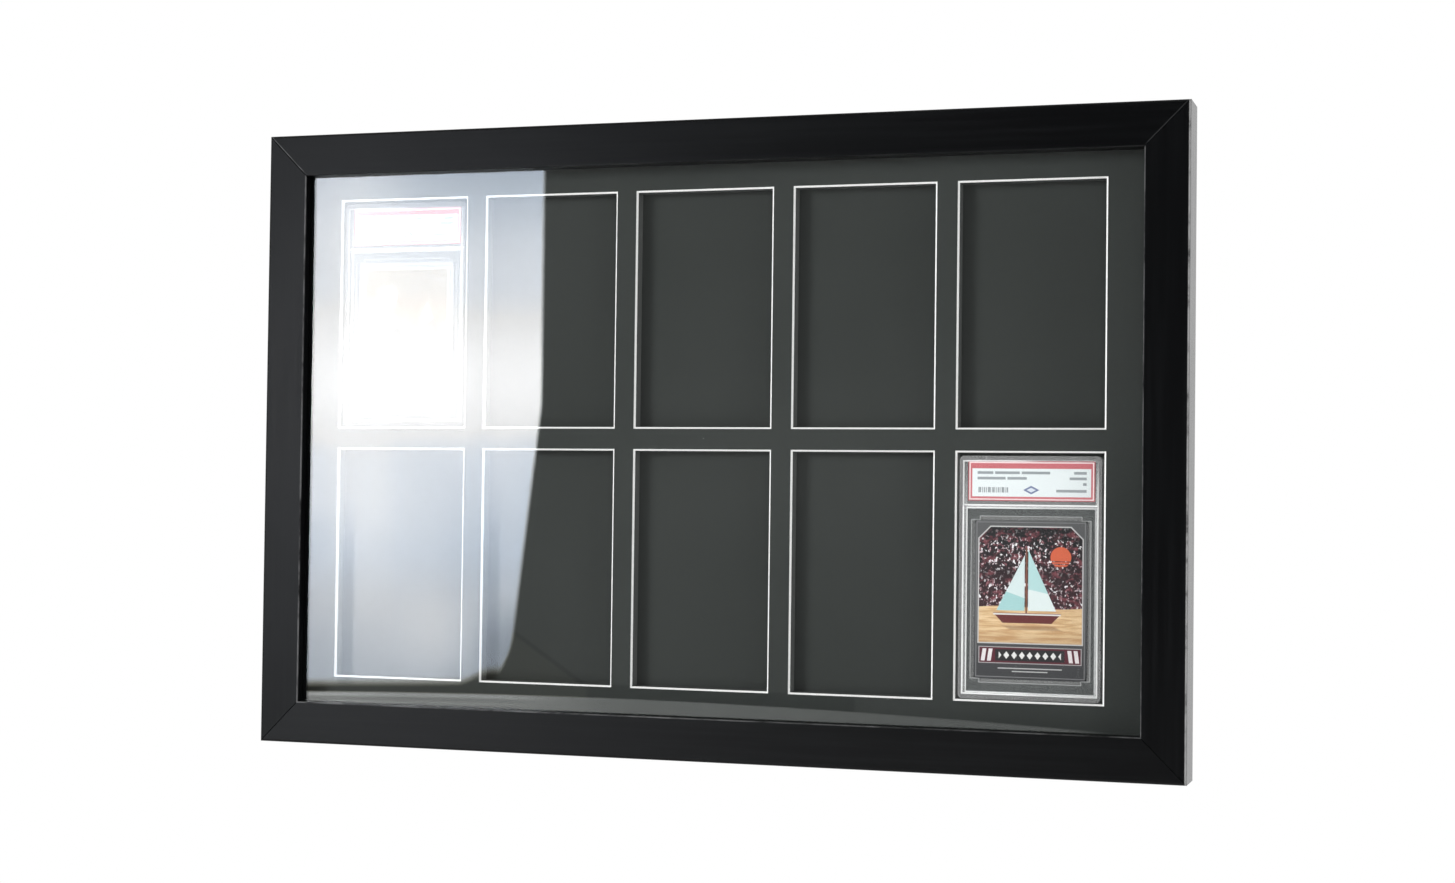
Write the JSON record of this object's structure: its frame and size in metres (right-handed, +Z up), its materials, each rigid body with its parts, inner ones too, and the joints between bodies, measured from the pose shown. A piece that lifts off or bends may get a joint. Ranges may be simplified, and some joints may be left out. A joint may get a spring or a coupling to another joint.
{
  "type": "trading card display case",
  "caption": "Wall-hung box frame with clear glazing, a bevel-cut black mount over rows of card pockets, sealed card holders, and a lift-off back held by turn buttons.",
  "frame": {"origin": "centre of the wall plane behind the case, where its four rear pads touch the wall", "axes": "+X to the viewer's right, +Y out of the back into the wall, +Z up; the front faces -Y"},
  "size_m": [0.56, 0.033, 0.371],
  "materials": {
    "black_lacquered_wood": "satin black lacquer over close-grained wood",
    "clear_glazing": "polished, clear",
    "black_mount_paper": "matt black facing paper",
    "white_mount_core": "cut white board",
    "black_foam_board": "matt black",
    "brown_hardboard": "raw pressed fibre board",
    "zinc_plated_steel": "bright zinc plate",
    "black_rubber": "matt",
    "clear_holder_shell": "clear moulded, polished",
    "frosted_gasket": "frosted, translucent",
    "label_paper": "printed, semi-gloss",
    "card_stock": "printed, glossy"
  },
  "bodies": {
    "case": {"rail_top": "black_lacquered_wood", "rail_bottom": "black_lacquered_wood", "rail_left": "black_lacquered_wood", "rail_right": "black_lacquered_wood", "corner_v_nails": "zinc_plated_steel", "glazing": "clear_glazing", "spacer_bars": "black_lacquered_wood", "mount_facing": "black_mount_paper", "mount_core": "white_mount_core", "pocket_strips": "black_foam_board", "turn_button_screws": "zinc_plated_steel", "hanger_strap_left": "zinc_plated_steel", "hanger_strap_right": "zinc_plated_steel", "hanger_screws": "zinc_plated_steel", "wall_pads": "black_rubber"},
    "back": {"back_liner": "black_foam_board", "back_panel": "brown_hardboard"},
    "upper_slab": {"upper_slab_front": "clear_holder_shell", "upper_slab_rear": "clear_holder_shell", "upper_slab_gasket": "frosted_gasket", "upper_slab_label": "label_paper", "upper_card": "card_stock"},
    "lower_slab": {"lower_slab_front": "clear_holder_shell", "lower_slab_rear": "clear_holder_shell", "lower_slab_gasket": "frosted_gasket", "lower_slab_label": "label_paper", "lower_card": "card_stock"},
    "button_top_left": {"turn_button_top_left": "zinc_plated_steel"},
    "button_top_right": {"turn_button_top_right": "zinc_plated_steel"},
    "button_right": {"turn_button_right": "zinc_plated_steel"},
    "button_bottom_right": {"turn_button_bottom_right": "zinc_plated_steel"},
    "button_bottom_left": {"turn_button_bottom_left": "zinc_plated_steel"},
    "button_left": {"turn_button_left": "zinc_plated_steel"},
    "ring_left": {"d_ring_left": "zinc_plated_steel"},
    "ring_right": {"d_ring_right": "zinc_plated_steel"}
  },
  "joints": [
    {"name": "back_lift", "type": "slide", "parent": "case", "child": "back", "axis": [0, 1, 0], "range_m": [0, 0.12]},
    {"name": "upper_slab_lift", "type": "slide", "parent": "case", "child": "upper_slab", "axis": [0, 1, 0], "range_m": [0, 0.06]},
    {"name": "lower_slab_lift", "type": "slide", "parent": "case", "child": "lower_slab", "axis": [0, 1, 0], "range_m": [0, 0.06]},
    {"name": "turn_top_left", "type": "hinge", "parent": "case", "child": "button_top_left", "pos_m": [-0.13, -0.005, 0.176], "axis": [0, 1, 0], "range_deg": [0, 90]},
    {"name": "turn_top_right", "type": "hinge", "parent": "case", "child": "button_top_right", "pos_m": [0.13, -0.005, 0.176], "axis": [0, 1, 0], "range_deg": [0, 90]},
    {"name": "turn_right", "type": "hinge", "parent": "case", "child": "button_right", "pos_m": [0.2705, -0.005, -0.03], "axis": [0, 1, 0], "range_deg": [0, 90]},
    {"name": "turn_bottom_right", "type": "hinge", "parent": "case", "child": "button_bottom_right", "pos_m": [0.13, -0.005, -0.176], "axis": [0, 1, 0], "range_deg": [0, 90]},
    {"name": "turn_bottom_left", "type": "hinge", "parent": "case", "child": "button_bottom_left", "pos_m": [-0.13, -0.005, -0.176], "axis": [0, 1, 0], "range_deg": [0, 90]},
    {"name": "turn_left", "type": "hinge", "parent": "case", "child": "button_left", "pos_m": [-0.2705, -0.005, -0.03], "axis": [0, 1, 0], "range_deg": [0, 90]},
    {"name": "ring_swing_left", "type": "hinge", "parent": "case", "child": "ring_left", "pos_m": [-0.2705, -0.0028, 0.092], "axis": [-1, 0, 0], "range_deg": [0, 170]},
    {"name": "ring_swing_right", "type": "hinge", "parent": "case", "child": "ring_right", "pos_m": [0.2705, -0.0028, 0.092], "axis": [-1, 0, 0], "range_deg": [0, 170]}
  ],
  "couplings": [
    {"joint": "upper_slab_lift", "follows": "back_lift", "ratio": 0.5},
    {"joint": "lower_slab_lift", "follows": "back_lift", "ratio": 0.5}
  ]
}
